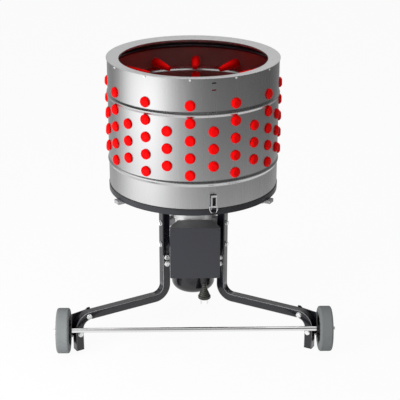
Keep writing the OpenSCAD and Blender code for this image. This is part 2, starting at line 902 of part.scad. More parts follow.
module end_bell()
{
    color("silver") at_drum() difference() {
        union() {
            disc(motor_r, bell_z, bell_z + bell_h);
            disc(cowl_r - 2 - slide_play, bell_z - 6, bell_z);
        }
        disc(rotor_shaft_d / 2 + run_play, bell_z - 10, bell_z + bell_h + 1);
    }
}

// Domed cowl, open where it meets the bell, with air slots in its crown
cowl_dome = 26;
cowl_wall = 2;
module cowl_2d(grow)
{
    r = cowl_r - grow;
    z = cowl_z + grow;
    steps = 10;
    polygon(concat(
        [[0, bell_z], [r, bell_z]],
        [for (i = [0:steps]) let (a = 90 * i / steps)
            [r - cowl_dome + cowl_dome * cos(a), z + cowl_dome - cowl_dome * sin(a)]],
        [[0, z]]
    ));
}

module fan_cowl()
{
    slot_count = 18;
    color("black") at_drum() difference() {
        rotate_extrude() difference() {
            cowl_2d(0);
            cowl_2d(cowl_wall);
            translate([0, bell_z - 0.01]) square([cowl_r - cowl_wall, 1]);
        }
        disc(cowl_r - cowl_wall, bell_z - 8, bell_z + 1);
        for (i = [0:slot_count - 1]) rotate([0, 0, (i + 0.5) * 360 / slot_count])
            translate([16, -1.5, cowl_z - 1]) cube([20, 3, cowl_wall + 2]);
    }
}

module rotor()
{
    color("silver") at_drum() {
        disc(rotor_shaft_d / 2, bell_z - 40, gear_z[1]);
        disc(rotor_core_r, stator_z[0], stator_z[1]);
        translate([0, 0, gear_z[0] + 1]) linear_extrude(gear_z[1] - gear_z[0] - 2) gear_2d(sun_teeth);
    }
}

module cooling_fan()
{
    fan_z = bell_z - 38;
    color("white") at_drum() difference() {
        union() {
            disc(13, fan_z, fan_z + 26);
            disc(50, fan_z + 22, fan_z + 24);
            for (a = [0:45:315]) rotate([0, 0, a]) translate([10, -1, fan_z + 4]) cube([39, 2, 19]);
        }
        disc(rotor_shaft_d / 2, fan_z - 1, fan_z + 40);
    }
}

module planet(i)
{
    color("darkgray") at_drum() rotate([0, 0, 120 * i]) translate([planet_orbit, 0, gear_z[0] + 1])
        linear_extrude(gear_z[1] - gear_z[0] - 2) difference() {
            gear_2d(planet_teeth);
            circle(planet_pin_d / 2 + run_play);
        }
}

module planet_1() planet(0);
module planet_2() planet(1);
module planet_3() planet(2);

module output_shaft()
{
    collar_r = 17;
    collar_h = 12;
    color("silver") at_drum() {
        disc(carrier_r, carrier_z, carrier_z + carrier_t);
        for (i = [0:2]) rotate([0, 0, 120 * i]) translate([planet_orbit, 0, 0])
            disc(planet_pin_d / 2, gear_z[0] - 1, carrier_z + 1);
        disc(shaft_d / 2, carrier_z, plate_z + plate_t + shaft_above);
        disc(collar_r, plate_z - collar_h, plate_z);
    }
}

// Feather plate

module each_plate_finger()
{
    for (ring = plate_rings, i = [0:ring[1] - 1])
        rotate([0, 0, ring[2] + i * 360 / ring[1]]) translate([ring[0], 0, 0]) children();
}

module feather_plate()
{
    color("silver") at_drum() difference() {
        disc(plate_r, plate_z, plate_z + plate_t);
        disc(shaft_d / 2, plate_z - 1, plate_z + plate_t + 1);
        each_plate_finger() disc(finger_hole_d / 2, plate_z - 1, plate_z + plate_t + 1);
    }
}

module plate_fingers()
{
    color("firebrick") at_drum() each_plate_finger() translate([0, 0, plate_z])
        rotate_extrude() finger_2d(plate_finger_h - finger_grip, plate_t + finger_grip, finger_grip);
}

module shaft_nut()
{
    z = plate_z + plate_t;
    washer_r = 24;
    washer_h = 3;
    hex_r = 17;
    hex_h = 12;
    color("silver") at_drum() difference() {
        union() {
            disc(washer_r, z, z + washer_h);
            translate([0, 0, z + washer_h]) cylinder(r = hex_r, h = hex_h, $fn = 6);
            intersection() {
                translate([0, 0, z + hex_h]) sphere(0.86 * hex_r);
                disc(2 * hex_r, z + hex_h, z + 4 * hex_h);
            }
        }
        disc(shaft_d / 2, z - 1, z + shaft_above);
    }
}

// Control box

wire_z = 330;
wire_d = 18;
cover_left = cover_x - cover_w / 2;
cover_bottom_z = cover_top_z - cover_h;
cover_corner = 4;

// Rounded rectangle seen from the front, from its lower left corner
module panel_2d(w, h, c)
{
    translate([c, 0]) square([w - 2 * c, h]);
    translate([0, c]) square([w, h - 2 * c]);
    for (x = [c, w - c], y = [c, h - c]) translate([x, y]) circle(c);
}

// Stands a front view up at a given y, reaching toward the rear by depth
module upright(y, depth)
{
    translate([0, y + depth, 0]) rotate([90, 0, 0]) linear_extrude(depth) children();
}

screw_in = 7.5;
screw_boss_d = 12;
module each_cover_screw()
{
    for (x = [cover_left + screw_in, cover_left + cover_w - screw_in],
         z = [cover_bottom_z + screw_in, cover_top_z - screw_in])
        translate([x, 0, z]) children();
}

module box_cover()
{
    t = 2.5;
    color("darkslategray") at_drum() difference() {
        upright(-cover_front, cover_t) translate([cover_left, cover_bottom_z])
            panel_2d(cover_w, cover_h, cover_corner);
        difference() {
            upright(-cover_front + t, cover_t) translate([cover_left + t, cover_bottom_z + t])
                panel_2d(cover_w - 2 * t, cover_h - 2 * t, cover_corner - 1);
            each_cover_screw() bar_y(screw_boss_d, -cover_front - 1, -box_front + 20);
        }
        each_cover_screw() bar_y(4.4, -cover_front - 1, -box_front + 1);
    }
}

module cover_screws()
{
    color("dimgray") at_drum() each_cover_screw() {
        bar_y(4, -cover_front - 0.5, -box_front + 4.5);
        translate([0, -cover_front, 0]) rotate([90, 0, 0]) cylinder(r1 = 3, r2 = 2.2, h = 1);
    }
}

// Plan of the box behind the cover, narrowing to the rear
module box_plan_2d(inset)
{
    polygon([
        [cover_left + inset, -box_front + inset], [cover_left + cover_w - inset, -box_front + inset],
        [cover_x + box_back_w / 2 - inset, -box_back - inset],
        [cover_x - box_back_w / 2 + inset, -box_back - inset]
    ]);
}

back_plate_t = 5;
gland_boss_r = 10;
module box_body()
{
    top_z = cover_top_z - 0.5;
    inner_z = box_bottom_z + box_wall;
    color("darkslategray") at_drum() difference() {
        union() {
            translate([0, 0, box_bottom_z]) linear_extrude(top_z - box_bottom_z) box_plan_2d(0);
            upright(-box_front, back_plate_t)
                translate([cover_left, cover_bottom_z]) panel_2d(cover_w, cover_h - 0.5, cover_corner);
            translate([cover_x - neck_w / 2, -box_back - 1, box_bottom_z])
                cube([neck_w, box_back - motor_r + 15, neck_top_z - box_bottom_z]);
            translate([cord_x, coil_front_y, box_bottom_z]) cylinder(r = gland_boss_r, h = 16);
        }
        disc(motor_r, box_bottom_z - 1, top_z + 1);
        translate([0, 0, inner_z]) linear_extrude(top_z - box_wall - inner_z) box_plan_2d(box_wall + 3);
        translate([cover_left + 14, -box_front - 1, inner_z + 5])
            cube([cover_w - 28, 12, top_z - box_wall - inner_z - 10]);
        translate([cover_x, 0, wire_z]) bar_y(wire_d, -box_back - 10, -motor_r + 5);
        each_cover_screw() bar_y(4.2, -box_front - 1, -box_front + back_plate_t);
        translate([cord_x, coil_front_y, box_bottom_z - 1]) cylinder(d = cord_d, h = 14);
    }
}

// Cord, its gland, coil, hook, tie and plug

module cord_gland()
{
    color("black") at_drum() translate([cord_x, coil_front_y, 0]) difference() {
        union() {
            disc(8, box_bottom_z - 4, box_bottom_z);
            translate([0, 0, box_bottom_z - 10]) cylinder(r = 8.6, h = 6, $fn = 6);
            translate([0, 0, relief_end_z])
                cylinder(r1 = 4.4, r2 = 6.5, h = box_bottom_z - 10 - relief_end_z);
        }
        disc(cord_d / 2, relief_end_z - 1, relief_end_z);
    }
}

// The straight stretches: gland to coil, and coil to plug
coil_start_z = coil_z + cord_d;
coil_end_z = coil_z - cord_d;
coil_back_y = coil_front_y + coil_layer;
module power_cord()
{
    color("black") at_drum() {
        translate([cord_x, coil_front_y, 0]) disc(cord_d / 2, coil_start_z, relief_end_z);
        translate([cord_x, coil_back_y, 0]) disc(cord_d / 2, plug_top_z, coil_end_z);
    }
}

// Coil: the turns run inward in the front layer, cross to the back layer in
// the middle half turn and run outward again
coil_inner_r = coil_r - coil_pitch * coil_turns / 2;
coil_rings = 24;
coil_sides = 6;
function coil_radius(t) = coil_r - coil_pitch * min(t, coil_turns - t);
function coil_y(t) =
    let (s = min(1, max(0, 2 * t - coil_turns + 0.5)))
    coil_front_y + coil_layer * (1 - cos(180 * s)) / 2;
function coil_point(t) =
    t < 0 ? [cord_x, coil_front_y, coil_z - t * 360] :
    t > coil_turns ? [cord_x, coil_back_y, coil_z - (t - coil_turns) * 360] :
    let (r = coil_radius(t), a = -360 * t) [coil_x + r * cos(a), coil_y(t), coil_z + r * sin(a)];
coil_lead = cord_d / 360;
coil_ts = concat(
    [-coil_lead],
    [for (i = [0:coil_turns * coil_rings]) i / coil_rings],
    [coil_turns + coil_lead]
);
function unit(v) = v / norm(v);
function coil_way(i, n) =
    i == 0 || i == n - 1 ? [0, 0, -1] :
    unit(coil_point(coil_ts[i] + 0.004) - coil_point(coil_ts[i] - 0.004));

module cord_coil()
{
    n = len(coil_ts);
    r = cord_d / 2;
    centres = [for (t = coil_ts) coil_point(t)];
    gap = min([
        for (i = [0:n - 1], j = [i + coil_rings / 4:1:n - 1]) norm(centres[i] - centres[j]) - cord_d
    ]);
    echo(coil_least_gap = gap);
    points = [
        for (i = [0:n - 1])
            let (way = coil_way(i, n), side = unit(cross(way, [0, 1, 0])), up = cross(side, way))
                for (k = [0:coil_sides - 1]) let (a = 360 * k / coil_sides + 30)
                    centres[i] + r * (cos(a) * side + sin(a) * up)
    ];
    faces = concat(
        [for (k = [1:coil_sides - 2]) [0, k, k + 1]],
        [for (i = [0:n - 2], k = [0:coil_sides - 1]) let (q = (k + 1) % coil_sides, b = i * coil_sides)
            each [[b + k, b + coil_sides + k, b + q], [b + q, b + coil_sides + k, b + coil_sides + q]]],
        [for (k = [1:coil_sides - 2]) let (b = (n - 1) * coil_sides) [b, b + k + 1, b + k]]
    );
    color("black") at_drum() polyhedron(points = points, faces = faces, convexity = 8);
}

hook_gap = 0.3;
bundle_in = coil_inner_r - cord_d / 2;
module cord_hook()
{
    w = 20;
    t = 2;
    front_y = coil_front_y - cord_d / 2 - 1;
    back_y = coil_back_y + cord_d / 2 + 1;
    ledge_z = coil_z + bundle_in - hook_gap - 1.5;
    color("gray") at_drum() translate([coil_x - w / 2, 0, 0]) {
        translate([0, front_y - t, ledge_z - t]) cube([w, t, box_bottom_z - ledge_z + t]);
        translate([0, front_y - t, ledge_z - t]) cube([w, back_y - front_y + 2 * t, t]);
        translate([0, back_y, ledge_z - t]) cube([w, t, 8]);
    }
}

module cord_tie()
{
    w = 5;
    gap = 0.5;
    wall = 1.2;
    inner_r = bundle_in - gap;
    outer_r = coil_r + cord_d / 2 + gap;
    y0 = coil_front_y - cord_d / 2 - gap;
    y1 = coil_back_y + cord_d / 2 + gap;
    color("white") at_drum() translate([coil_x, 0, coil_z]) difference() {
        translate([-outer_r - wall, y0 - wall, -w / 2])
            cube([outer_r - inner_r + 2 * wall, y1 - y0 + 2 * wall, w]);
        translate([-outer_r, y0, -w]) cube([outer_r - inner_r, y1 - y0, 2 * w]);
    }
}

pin_d = 4.8;
pin_x = 9.5;
pin_len = 19;
module plug_body()
{
    r = plug_d / 2;
    color("black") at_drum() translate([cord_x, coil_back_y, 0]) difference() {
        rotate_extrude() polygon([
            [0, plug_z], [r - 2, plug_z], [r, plug_z + 2], [r, plug_z + 8], [r - 2, plug_z + 11.5],
            [r - 6, plug_z + 21], [r / 2, plug_z + 29], [r / 2 - 1.5, plug_z + 33],
            [r / 2 - 2, plug_z + 41], [5.5, plug_z + 47], [4.4, plug_top_z], [0, plug_top_z]
        ]);
        for (x = [-pin_x, pin_x]) translate([x, 0, 0]) disc(pin_d / 2, plug_z - 1, plug_z + 10);
    }
}

module plug_pins()
{
    color("silver") at_drum() for (x = [-pin_x, pin_x]) translate([cord_x + x, coil_back_y, 0])
        disc(pin_d / 2, plug_z - pin_len, plug_z + 10);
}

drum_shell();
top_ring();
rim_screws();
wall_fingers();
spray_ring();
hose_inlet();
latch_bases();
latch_hooks();
tray();
support_arms();
arm_bolts();
leg_uppers();
leg_lower_left();
leg_lower_right();
leg_lower_rear();
leg_sleeves();
foot_caps();
cross_bolts();
cross_nuts();
saddles();
saddle_bolts();
wheel_brackets();
axle();
axle_caps();
gear_case();
ring_gear();
shaft_bearings();
motor_housing();
stator();
end_bell();
fan_cowl();
box_body();
box_cover();
cover_screws();
cord_gland();
cord_hook();
power_cord();
cord_coil();
cord_tie();
plug_body();
plug_pins();
feather_plate();
plate_fingers();
output_shaft();
shaft_nut();
rotor();
cooling_fan();
planet_1();
planet_2();
planet_3();
tyre_left();
tyre_right();
hub_left();
hub_right();
latch_lever_1();
latch_lever_2();
latch_lever_3();
latch_bail_1();
latch_bail_2();
latch_bail_3();
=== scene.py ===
"""Dresses the drum poultry plucker and sets up its studio. Metres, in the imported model's frame."""

import json
import math

import bmesh
import bpy
from mathutils import Matrix, Vector


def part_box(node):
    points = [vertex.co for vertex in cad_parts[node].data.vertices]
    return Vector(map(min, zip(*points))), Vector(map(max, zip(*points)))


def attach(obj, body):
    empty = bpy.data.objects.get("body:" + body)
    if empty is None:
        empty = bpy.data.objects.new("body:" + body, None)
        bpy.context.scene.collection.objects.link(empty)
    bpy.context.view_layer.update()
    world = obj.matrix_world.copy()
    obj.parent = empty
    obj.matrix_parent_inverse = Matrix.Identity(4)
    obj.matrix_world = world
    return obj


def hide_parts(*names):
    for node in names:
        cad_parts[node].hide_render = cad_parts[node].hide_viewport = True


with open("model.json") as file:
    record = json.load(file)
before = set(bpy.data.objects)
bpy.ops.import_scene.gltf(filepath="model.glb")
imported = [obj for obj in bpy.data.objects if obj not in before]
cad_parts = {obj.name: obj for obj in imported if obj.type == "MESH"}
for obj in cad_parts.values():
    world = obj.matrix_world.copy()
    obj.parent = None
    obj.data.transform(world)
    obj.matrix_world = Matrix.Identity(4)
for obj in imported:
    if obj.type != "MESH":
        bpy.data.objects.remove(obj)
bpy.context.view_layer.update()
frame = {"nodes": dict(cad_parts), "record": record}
nodes = frame["nodes"]

# The drum's axis and wall
shell_lo, shell_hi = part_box("drum_shell")
DRUM_Y = (shell_lo[1] + shell_hi[1]) / 2
WALL_FOOT, WALL_TOP = shell_lo[2], shell_hi[2]
DRUM_R = 0.2475

# Camera: aim turns it towards +X, dip tips it down, roll turns it about its line of sight
CAMERA_PLACE = Vector((-0.0606, DRUM_Y - 3.2154, 1.656))
CAMERA_AIM, CAMERA_DIP, CAMERA_ROLL = math.radians(1.445), math.radians(21.45), math.radians(0.18)
SENSOR_MM, LENS_MM = 36, 103.59
CLIP_END = 50


def radial(azimuth):
    """Unit vector away from the drum axis; the azimuth in degrees counts from the front towards +X."""
    a = math.radians(azimuth)
    return Vector((math.sin(a), -math.cos(a), 0))


def add_camera():
    """The photograph's viewpoint, fitted on the drum's rings, the finger heads, the legs and the wheels."""
    level = Vector((math.sin(CAMERA_AIM), math.cos(CAMERA_AIM), 0))
    ahead = level * math.cos(CAMERA_DIP) - Vector((0, 0, math.sin(CAMERA_DIP)))
    flat_right = ahead.cross(Vector((0, 0, 1))).normalized()
    flat_up = flat_right.cross(ahead)
    right = flat_right * math.cos(CAMERA_ROLL) + flat_up * math.sin(CAMERA_ROLL)
    up = flat_up * math.cos(CAMERA_ROLL) - flat_right * math.sin(CAMERA_ROLL)
    data = bpy.data.cameras.new("camera")
    data.sensor_width = SENSOR_MM
    data.lens = LENS_MM
    data.clip_end = CLIP_END
    camera = bpy.data.objects.new("camera", data)
    axes = Matrix((right, up, -ahead)).transposed().to_4x4()
    camera.matrix_world = Matrix.Translation(CAMERA_PLACE) @ axes
    bpy.context.collection.objects.link(camera)
    bpy.context.scene.camera = camera


add_camera()

# Cord: the route repeats the part's own numbers
CORD_D = 0.0062
CORD_X = 0.0323
COIL_Y, COIL_LAYER = -0.0972, 0.0068
COIL_R, COIL_PITCH, COIL_TURNS, COIL_Z = 0.0451, 0.00675, 6, 0.234
COIL_CROSSING = 0.5
POINTS_PER_TURN = 24
GLAND_ZS = (0.250, 0.246, 0.242, 0.238)
PLUG_ZS = (0.230, 0.226, 0.216, 0.204, 0.192, 0.180, 0.170, 0.1605)


def coil_point(turns):
    """Point of the coil: inward in the front layer, across in half a turn, outward in the back layer."""
    r = COIL_R - COIL_PITCH * min(turns, COIL_TURNS - turns)
    crossed = min(1, max(0, (turns - COIL_TURNS / 2) / COIL_CROSSING + 0.5))
    a = -math.tau * turns
    x = CORD_X - COIL_R + r * math.cos(a)
    y = DRUM_Y + COIL_Y + COIL_LAYER * (1 - math.cos(math.pi * crossed)) / 2
    return x, y, COIL_Z + r * math.sin(a)


def cord_route():
    front = DRUM_Y + COIL_Y
    back = front + COIL_LAYER
    coil = [coil_point(i / POINTS_PER_TURN) for i in range(COIL_TURNS * POINTS_PER_TURN + 1)]
    return [(CORD_X, front, z) for z in GLAND_ZS] + coil + [(CORD_X, back, z) for z in PLUG_ZS]


def add_cord():
    route = cord_route()
    data = bpy.data.curves.new("mains_cord", "CURVE")
    data.dimensions = "3D"
    # The thickness comes from the points' radius, which the box round a curve also counts
    data.bevel_depth = 1
    data.bevel_resolution = 3
    data.resolution_u = 3
    data.use_fill_caps = True
    spline = data.splines.new("NURBS")
    spline.points.add(len(route) - 1)
    for point, place in zip(spline.points, route):
        point.co = (*place, 1)
        point.radius = CORD_D / 2
    spline.order_u = 4
    spline.use_endpoint_u = True
    cord = bpy.data.objects.new("mains_cord", data)
    bpy.context.collection.objects.link(cord)
    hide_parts("power_cord", "cord_coil")
    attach(cord, "frame")
    return cord


mains_cord = add_cord()

# Material nodes: most of a noise's values lie within its span
NOISE_SPAN, STAIN_SPAN = (0.3, 0.7), (0.35, 0.65)
GRAIN = {"detail": 5, "rough": 0.6}
STAIN = {"scale": 9, "detail": 3, "rough": 0.5}
# The Z of a normal goes through this span as a wall becomes a top
TOP_SPAN = (0.5, 0.9)
# The first, second and result sockets of a Mix node, by what it mixes
MIX_SOCKETS = {"FLOAT": (2, 3, 0), "RGBA": (6, 7, 2)}


def new_material(name):
    mat = bpy.data.materials.new(name)
    mat.use_nodes = True
    tree = mat.node_tree
    bsdf = next(n for n in tree.nodes if n.type == "BSDF_PRINCIPLED")
    return mat, tree, bsdf


def add(tree, kind, **settings):
    node = tree.nodes.new(kind)
    for key, value in settings.items():
        setattr(node, key, value)
    return node


def put(tree, value, socket):
    """Links an output to the socket, or sets the socket to a number or an RGB colour."""
    if isinstance(value, bpy.types.NodeSocket):
        tree.links.new(value, socket)
    elif isinstance(value, tuple):
        socket.default_value = (*value, 1)
    else:
        socket.default_value = value


def combine(tree, operation, first, second):
    node = add(tree, "ShaderNodeMath", operation=operation)
    put(tree, first, node.inputs[0])
    put(tree, second, node.inputs[1])
    return node.outputs[0]


def blend(tree, factor, first, second, kind="RGBA"):
    node = add(tree, "ShaderNodeMix", data_type=kind)
    first_socket, second_socket, result = MIX_SOCKETS[kind]
    put(tree, factor, node.inputs[0])
    put(tree, first, node.inputs[first_socket])
    put(tree, second, node.inputs[second_socket])
    return node.outputs[result]


def remap(tree, value, low, high, to_low=0, to_high=1):
    """The value carried from low..high to to_low..to_high, and held at the ends."""
    node = tree.nodes.new("ShaderNodeMapRange")
    for name, number in (("From Min", low), ("From Max", high), ("To Min", to_low), ("To Max", to_high)):
        node.inputs[name].default_value = number
    tree.links.new(value, node.inputs["Value"])
    return node.outputs["Result"]


def object_place(tree):
    return tree.nodes.new("ShaderNodeTexCoord").outputs["Object"]


def split(tree, vector):
    """The X, Y and Z sockets of a vector."""
    node = tree.nodes.new("ShaderNodeSeparateXYZ")
    tree.links.new(vector, node.inputs[0])
    return node.outputs


def noise(tree, scale, detail, rough, stretch=(1, 1, 1)):
    """Noise over object coordinates; returns its factor socket."""
    place = tree.nodes.new("ShaderNodeMapping")
    place.inputs["Scale"].default_value = stretch
    texture = tree.nodes.new("ShaderNodeTexNoise")
    texture.inputs["Scale"].default_value = scale
    texture.inputs["Detail"].default_value = detail
    texture.inputs["Roughness"].default_value = rough
    tree.links.new(object_place(tree), place.inputs["Vector"])
    tree.links.new(place.outputs["Vector"], texture.inputs["Vector"])
    return texture.outputs["Fac"]


def ramp(tree, factor, stops):
    node = tree.nodes.new("ShaderNodeValToRGB")
    tree.links.new(factor, node.inputs["Fac"])
    elements = node.color_ramp.elements
    while len(elements) < len(stops):
        elements.new(0.5)
    for element, (place, colour) in zip(elements, stops):
        element.position = place
        element.color = (*colour, 1)
    return node.outputs["Color"]


def shade(colour, k):
    return tuple(min(1, c * k) for c in colour)


def tint(tree, factor, colour, vary, span=NOISE_SPAN):
    """The colour, darker by the share vary at the span's start and lighter by it at its end."""
    return ramp(tree, factor, [(span[0], shade(colour, 1 - vary)), (span[1], shade(colour, 1 + vary))])


def bump(tree, bsdf, height, strength, depth_mm):
    node = tree.nodes.new("ShaderNodeBump")
    node.inputs["Strength"].default_value = strength
    node.inputs["Distance"].default_value = depth_mm / 1000
    tree.links.new(height, node.inputs["Height"])
    tree.links.new(node.outputs["Normal"], bsdf.inputs["Normal"])


def upward(tree):
    """1 on faces that look up, 0 on walls and undersides."""
    normal = tree.nodes.new("ShaderNodeNewGeometry").outputs["Normal"]
    return remap(tree, split(tree, normal)["Z"], *TOP_SPAN)


def axis_distance(tree):
    """Distance from the drum axis."""
    shift = add(tree, "ShaderNodeVectorMath", operation="SUBTRACT")
    shift.inputs[1].default_value = (0, DRUM_Y, 0)
    flat = add(tree, "ShaderNodeVectorMath", operation="MULTIPLY")
    flat.inputs[1].default_value = (1, 1, 0)
    reach = add(tree, "ShaderNodeVectorMath", operation="LENGTH")
    tree.links.new(object_place(tree), shift.inputs[0])
    tree.links.new(shift.outputs[0], flat.inputs[0])
    tree.links.new(flat.outputs[0], reach.inputs[0])
    return reach.outputs["Value"]


# Materials
STEEL = (0.56, 0.56, 0.565)
# Darker tones for the inside of the drum: painted shade
INSIDE_SHADE_DARK, INSIDE_SHADE_PALE = (0.36, 0.33, 0.32), (0.44, 0.41, 0.40)
RING_STEEL = (0.61, 0.61, 0.615)
BRUSHED_ROUGH, SATIN_ROUGH, INSIDE_STEEL_ROUGH = (0.25, 0.29), (0.26, 0.34), 0.42
# Near-black painted shade for the skirt's face behind the slots
SLOT_SHADE = (0.012, 0.012, 0.012)
# Distances from the drum axis, each within a sheet, over which its inner look gives way to its outer one
# Across this span the wall's inner face, painted darker as shade, gives way to the brushed outside
WALL_INSIDE = (DRUM_R - 0.0010, DRUM_R - 0.0005)
# Over this span the skirt's outer face turns to the painted shade of the slots
SKIRT_BACK = (DRUM_R - 0.0028, DRUM_R - 0.0024)
WALL_TOP_EDGE = 0.0001
COAT_ROUGH = 0.08
COATED_SMOOTHER, COATED_ROUGHER = 0.05, 0.06
# Shares of the rubber's colour for the ribs' painted shade and painted highlight, and where on the wave
# they fall
RIB_SHADE, RIB_HIGHLIGHT, RIB_SPAN = 0.2, 3.2, (0.25, 0.75)
# A wave texture of scale 1 repeats after this length
WAVE_LENGTH = math.tau / 20


def metal(name, colour, rough, spread=0.05, scale=60, stretch=(1, 1, 1), vary=0.08, bump_mm=0.02,
          metallic=1.0):
    """Bare or plated metal with grain, which runs where the stretch is small, and slight stains."""
    mat, tree, bsdf = new_material(name)
    bsdf.inputs["Metallic"].default_value = metallic
    grain = noise(tree, scale, stretch=stretch, **GRAIN)
    stained = tint(tree, noise(tree, **STAIN), colour, vary, STAIN_SPAN)
    tone = blend(tree, 0.5, tint(tree, grain, colour, vary), stained)
    sheen = remap(tree, grain, *NOISE_SPAN, rough - spread, rough + spread)
    tree.links.new(tone, bsdf.inputs["Base Color"])
    tree.links.new(sheen, bsdf.inputs["Roughness"])
    bump(tree, bsdf, grain, strength=0.25, depth_mm=bump_mm)
    return mat


def coated(name, colour, rough, scale=900, vary=0.12, bump_mm=0.05, specular=0.5, coat=0.0, painted_top_light=None,
           painted_light=None):
    """Paint, plastic or rubber with a fine moulded or sprayed grain, faint wear, painted light that makes
    upward faces lighter and, where a mesh marks its edges with a point attribute, a painted highlight along
    them."""
    mat, tree, bsdf = new_material(name)
    bsdf.inputs["Specular IOR Level"].default_value = specular
    if coat:
        bsdf.inputs["Coat Weight"].default_value = coat
        bsdf.inputs["Coat Roughness"].default_value = COAT_ROUGH
    fine = noise(tree, scale, detail=3, rough=0.6)
    wide = noise(tree, scale=22, detail=4, rough=0.6)
    tone = tint(tree, wide, colour, vary)
    # Painted light: upward faces turn to a lighter colour, as if lit from above
    if painted_top_light:
        tone = blend(tree, upward(tree), tone, painted_top_light)
    if painted_light:
        # Painted highlight: a pale colour along the edges that the mesh marks
        edges = add(tree, "ShaderNodeAttribute", attribute_name="edge_highlight").outputs["Fac"]
        tone = blend(tree, edges, tone, painted_light)
    sheen = remap(tree, wide, *NOISE_SPAN, rough - COATED_SMOOTHER, rough + COATED_ROUGHER)
    tree.links.new(tone, bsdf.inputs["Base Color"])
    tree.links.new(sheen, bsdf.inputs["Roughness"])
    bump(tree, bsdf, fine, strength=0.3, depth_mm=bump_mm)
    return mat


def ribbed(name, colour, rough, rib_mm, specular):
    """Moulded rubber with low ribs across its height, each rib's light and shade painted as pale and dark
    bands.
    """
    mat, tree, bsdf = new_material(name)
    bsdf.inputs["Specular IOR Level"].default_value = specular
    bsdf.inputs["Roughness"].default_value = rough
    wave = add(tree, "ShaderNodeTexWave", bands_direction="Z")
    wave.inputs["Scale"].default_value = WAVE_LENGTH / (rib_mm / 1000)
    wave.inputs["Distortion"].default_value = 0.6
    tree.links.new(object_place(tree), wave.inputs["Vector"])
    ribs = wave.outputs["Fac"]
    # Painted shade and highlight of the ribs
    rib_light_and_shade = (shade(colour, RIB_SHADE), shade(colour, RIB_HIGHLIGHT))
    tree.links.new(ramp(tree, ribs, list(zip(RIB_SPAN, rib_light_and_shade))), bsdf.inputs["Base Color"])
    bump(tree, bsdf, ribs, strength=0.6, depth_mm=0.4)
    return mat


def drum_steel():
    """Brushed outside; inside, the sheet is duller, and its darker tone there is painted shade, with
    stain-like blotches.
    """
    mat, tree, bsdf = new_material("drum_steel")
    bsdf.inputs["Metallic"].default_value = 1
    outside = remap(tree, axis_distance(tree), *WALL_INSIDE)
    grain = noise(tree, scale=40, stretch=(1, 1, 0.02), **GRAIN)
    brushed = tint(tree, grain, STEEL, vary=0.025)
    # Painted shade: darker, blotchy tones for the drum's inside
    painted_light = ramp(tree, noise(tree, **STAIN), list(zip(NOISE_SPAN, (INSIDE_SHADE_DARK, INSIDE_SHADE_PALE))))
    tree.links.new(blend(tree, outside, painted_light, brushed), bsdf.inputs["Base Color"])
    brushed_sheen = remap(tree, grain, *NOISE_SPAN, *BRUSHED_ROUGH)
    sheen = blend(tree, outside, INSIDE_STEEL_ROUGH, brushed_sheen, "FLOAT")
    tree.links.new(sheen, bsdf.inputs["Roughness"])
    bump(tree, bsdf, grain, strength=0.2, depth_mm=0.01)
    return mat


def ring_steel():
    """Satin steel; the skirt's face behind the wall is painted near-black, a painted shade that shows
    through the slots.
    """
    mat, tree, bsdf = new_material("ring_steel")
    bsdf.inputs["Metallic"].default_value = 1
    on_skirt = remap(tree, axis_distance(tree), *SKIRT_BACK)
    height = split(tree, object_place(tree))["Z"]
    below_top = remap(tree, height, WALL_TOP + WALL_TOP_EDGE, WALL_TOP - WALL_TOP_EDGE)
    # Painted shade: the skirt's outer face below the wall's top
    slot_shade_mask = combine(tree, "MULTIPLY", on_skirt, below_top)
    grain = noise(tree, scale=60, **GRAIN)
    satin = tint(tree, grain, RING_STEEL, vary=0.03)
    tree.links.new(blend(tree, slot_shade_mask, satin, SLOT_SHADE), bsdf.inputs["Base Color"])
    tree.links.new(remap(tree, grain, *NOISE_SPAN, *SATIN_ROUGH), bsdf.inputs["Roughness"])
    bump(tree, bsdf, grain, strength=0.25, depth_mm=0.01)
    return mat


